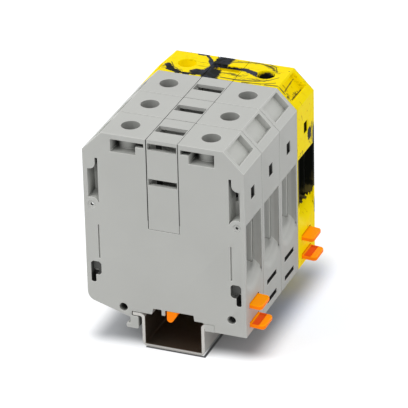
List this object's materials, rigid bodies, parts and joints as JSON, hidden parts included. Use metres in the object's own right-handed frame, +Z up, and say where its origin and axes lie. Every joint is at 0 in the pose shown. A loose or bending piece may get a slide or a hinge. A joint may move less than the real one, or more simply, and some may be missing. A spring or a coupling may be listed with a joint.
{
  "type": "high current terminal block",
  "caption": "High current screw clamp terminal block with side conductor entries, bridge slots in the top and pull-out lock slides, clipped on a piece of top hat rail.",
  "frame": {"origin": "middle of the rail's flat underside, half way along the row of poles", "axes": "+X across the rail towards the lock slides' tabs, +Y along the rail from the grey end to the marbled pole, +Z up from the rail to the screws"},
  "size_m": [0.0749, 0.08, 0.094],
  "materials": {
    "grey_polyamide": "fine moulded texture",
    "marbled_yellow": "marbled yellow and near-black, fine moulded texture",
    "orange_slide": "smooth moulded",
    "tinned_copper": "dull tin plating",
    "zinc_plated_steel": "zinc plated and passivated",
    "galvanised_sheet": "galvanised and passivated sheet"
  },
  "bodies": {
    "block": {"din_rail": "galvanised_sheet", "housing_1": "grey_polyamide", "cover_1": "grey_polyamide", "bridge_shaft_1": "grey_polyamide", "current_bar_1": "tinned_copper", "housing_2": "grey_polyamide", "cover_2": "grey_polyamide", "bridge_shaft_2": "grey_polyamide", "current_bar_2": "tinned_copper", "housing_3": "grey_polyamide", "cover_3": "grey_polyamide", "bridge_shaft_3": "grey_polyamide", "current_bar_3": "tinned_copper", "housing_4": "marbled_yellow", "cover_4": "marbled_yellow", "bridge_shaft_4": "marbled_yellow", "current_bar_4": "tinned_copper"},
    "screw_left_1": {"screw_left_1": "zinc_plated_steel"},
    "sleeve_left_1": {"sleeve_left_1": "zinc_plated_steel"},
    "screw_right_1": {"screw_right_1": "zinc_plated_steel"},
    "sleeve_right_1": {"sleeve_right_1": "zinc_plated_steel"},
    "lock_slide_1": {"lock_slide_1": "orange_slide"},
    "screw_left_2": {"screw_left_2": "zinc_plated_steel"},
    "sleeve_left_2": {"sleeve_left_2": "zinc_plated_steel"},
    "screw_right_2": {"screw_right_2": "zinc_plated_steel"},
    "sleeve_right_2": {"sleeve_right_2": "zinc_plated_steel"},
    "screw_left_3": {"screw_left_3": "zinc_plated_steel"},
    "sleeve_left_3": {"sleeve_left_3": "zinc_plated_steel"},
    "screw_right_3": {"screw_right_3": "zinc_plated_steel"},
    "sleeve_right_3": {"sleeve_right_3": "zinc_plated_steel"},
    "screw_left_4": {"screw_left_4": "zinc_plated_steel"},
    "sleeve_left_4": {"sleeve_left_4": "zinc_plated_steel"},
    "screw_right_4": {"screw_right_4": "zinc_plated_steel"},
    "sleeve_right_4": {"sleeve_right_4": "zinc_plated_steel"},
    "lock_slide_4": {"lock_slide_4": "orange_slide"}
  },
  "joints": [
    {"name": "screw_left_1_turn", "type": "hinge", "parent": "block", "child": "screw_left_1", "pos_m": [-0.0197, -0.03, 0.0846], "axis": [0, 0, -1], "range_deg": [0, 4320]},
    {"name": "sleeve_left_1_lift", "type": "slide", "parent": "block", "child": "sleeve_left_1", "axis": [0, 0, 1], "range_m": [0, 0.012]},
    {"name": "screw_right_1_turn", "type": "hinge", "parent": "block", "child": "screw_right_1", "pos_m": [0.0145, -0.03, 0.0846], "axis": [0, 0, -1], "range_deg": [0, 4320]},
    {"name": "sleeve_right_1_lift", "type": "slide", "parent": "block", "child": "sleeve_right_1", "axis": [0, 0, 1], "range_m": [0, 0.012]},
    {"name": "lock_slide_1_pull", "type": "slide", "parent": "block", "child": "lock_slide_1", "axis": [1, 0, 0], "range_m": [0, 0.006]},
    {"name": "screw_left_2_turn", "type": "hinge", "parent": "block", "child": "screw_left_2", "pos_m": [-0.0197, -0.01, 0.0846], "axis": [0, 0, -1], "range_deg": [0, 4320]},
    {"name": "sleeve_left_2_lift", "type": "slide", "parent": "block", "child": "sleeve_left_2", "axis": [0, 0, 1], "range_m": [0, 0.012]},
    {"name": "screw_right_2_turn", "type": "hinge", "parent": "block", "child": "screw_right_2", "pos_m": [0.0145, -0.01, 0.0846], "axis": [0, 0, -1], "range_deg": [0, 4320]},
    {"name": "sleeve_right_2_lift", "type": "slide", "parent": "block", "child": "sleeve_right_2", "axis": [0, 0, 1], "range_m": [0, 0.012]},
    {"name": "screw_left_3_turn", "type": "hinge", "parent": "block", "child": "screw_left_3", "pos_m": [-0.0197, 0.01, 0.0846], "axis": [0, 0, -1], "range_deg": [0, 4320]},
    {"name": "sleeve_left_3_lift", "type": "slide", "parent": "block", "child": "sleeve_left_3", "axis": [0, 0, 1], "range_m": [0, 0.012]},
    {"name": "screw_right_3_turn", "type": "hinge", "parent": "block", "child": "screw_right_3", "pos_m": [0.0145, 0.01, 0.0846], "axis": [0, 0, -1], "range_deg": [0, 4320]},
    {"name": "sleeve_right_3_lift", "type": "slide", "parent": "block", "child": "sleeve_right_3", "axis": [0, 0, 1], "range_m": [0, 0.012]},
    {"name": "screw_left_4_turn", "type": "hinge", "parent": "block", "child": "screw_left_4", "pos_m": [-0.0197, 0.03, 0.0846], "axis": [0, 0, -1], "range_deg": [0, 4320]},
    {"name": "sleeve_left_4_lift", "type": "slide", "parent": "block", "child": "sleeve_left_4", "axis": [0, 0, 1], "range_m": [0, 0.012]},
    {"name": "screw_right_4_turn", "type": "hinge", "parent": "block", "child": "screw_right_4", "pos_m": [0.0145, 0.03, 0.0846], "axis": [0, 0, -1], "range_deg": [0, 4320]},
    {"name": "sleeve_right_4_lift", "type": "slide", "parent": "block", "child": "sleeve_right_4", "axis": [0, 0, 1], "range_m": [0, 0.012]},
    {"name": "lock_slide_4_pull", "type": "slide", "parent": "block", "child": "lock_slide_4", "axis": [1, 0, 0], "range_m": [0, 0.006]}
  ],
  "couplings": [
    {"joint": "screw_left_1_turn", "follows": "sleeve_left_1_lift", "rad_per_m": 6283.2},
    {"joint": "screw_right_1_turn", "follows": "sleeve_right_1_lift", "rad_per_m": 6283.2},
    {"joint": "screw_left_2_turn", "follows": "sleeve_left_2_lift", "rad_per_m": 6283.2},
    {"joint": "screw_right_2_turn", "follows": "sleeve_right_2_lift", "rad_per_m": 6283.2},
    {"joint": "screw_left_3_turn", "follows": "sleeve_left_3_lift", "rad_per_m": 6283.2},
    {"joint": "screw_right_3_turn", "follows": "sleeve_right_3_lift", "rad_per_m": 6283.2},
    {"joint": "screw_left_4_turn", "follows": "sleeve_left_4_lift", "rad_per_m": 6283.2},
    {"joint": "screw_right_4_turn", "follows": "sleeve_right_4_lift", "rad_per_m": 6283.2}
  ]
}
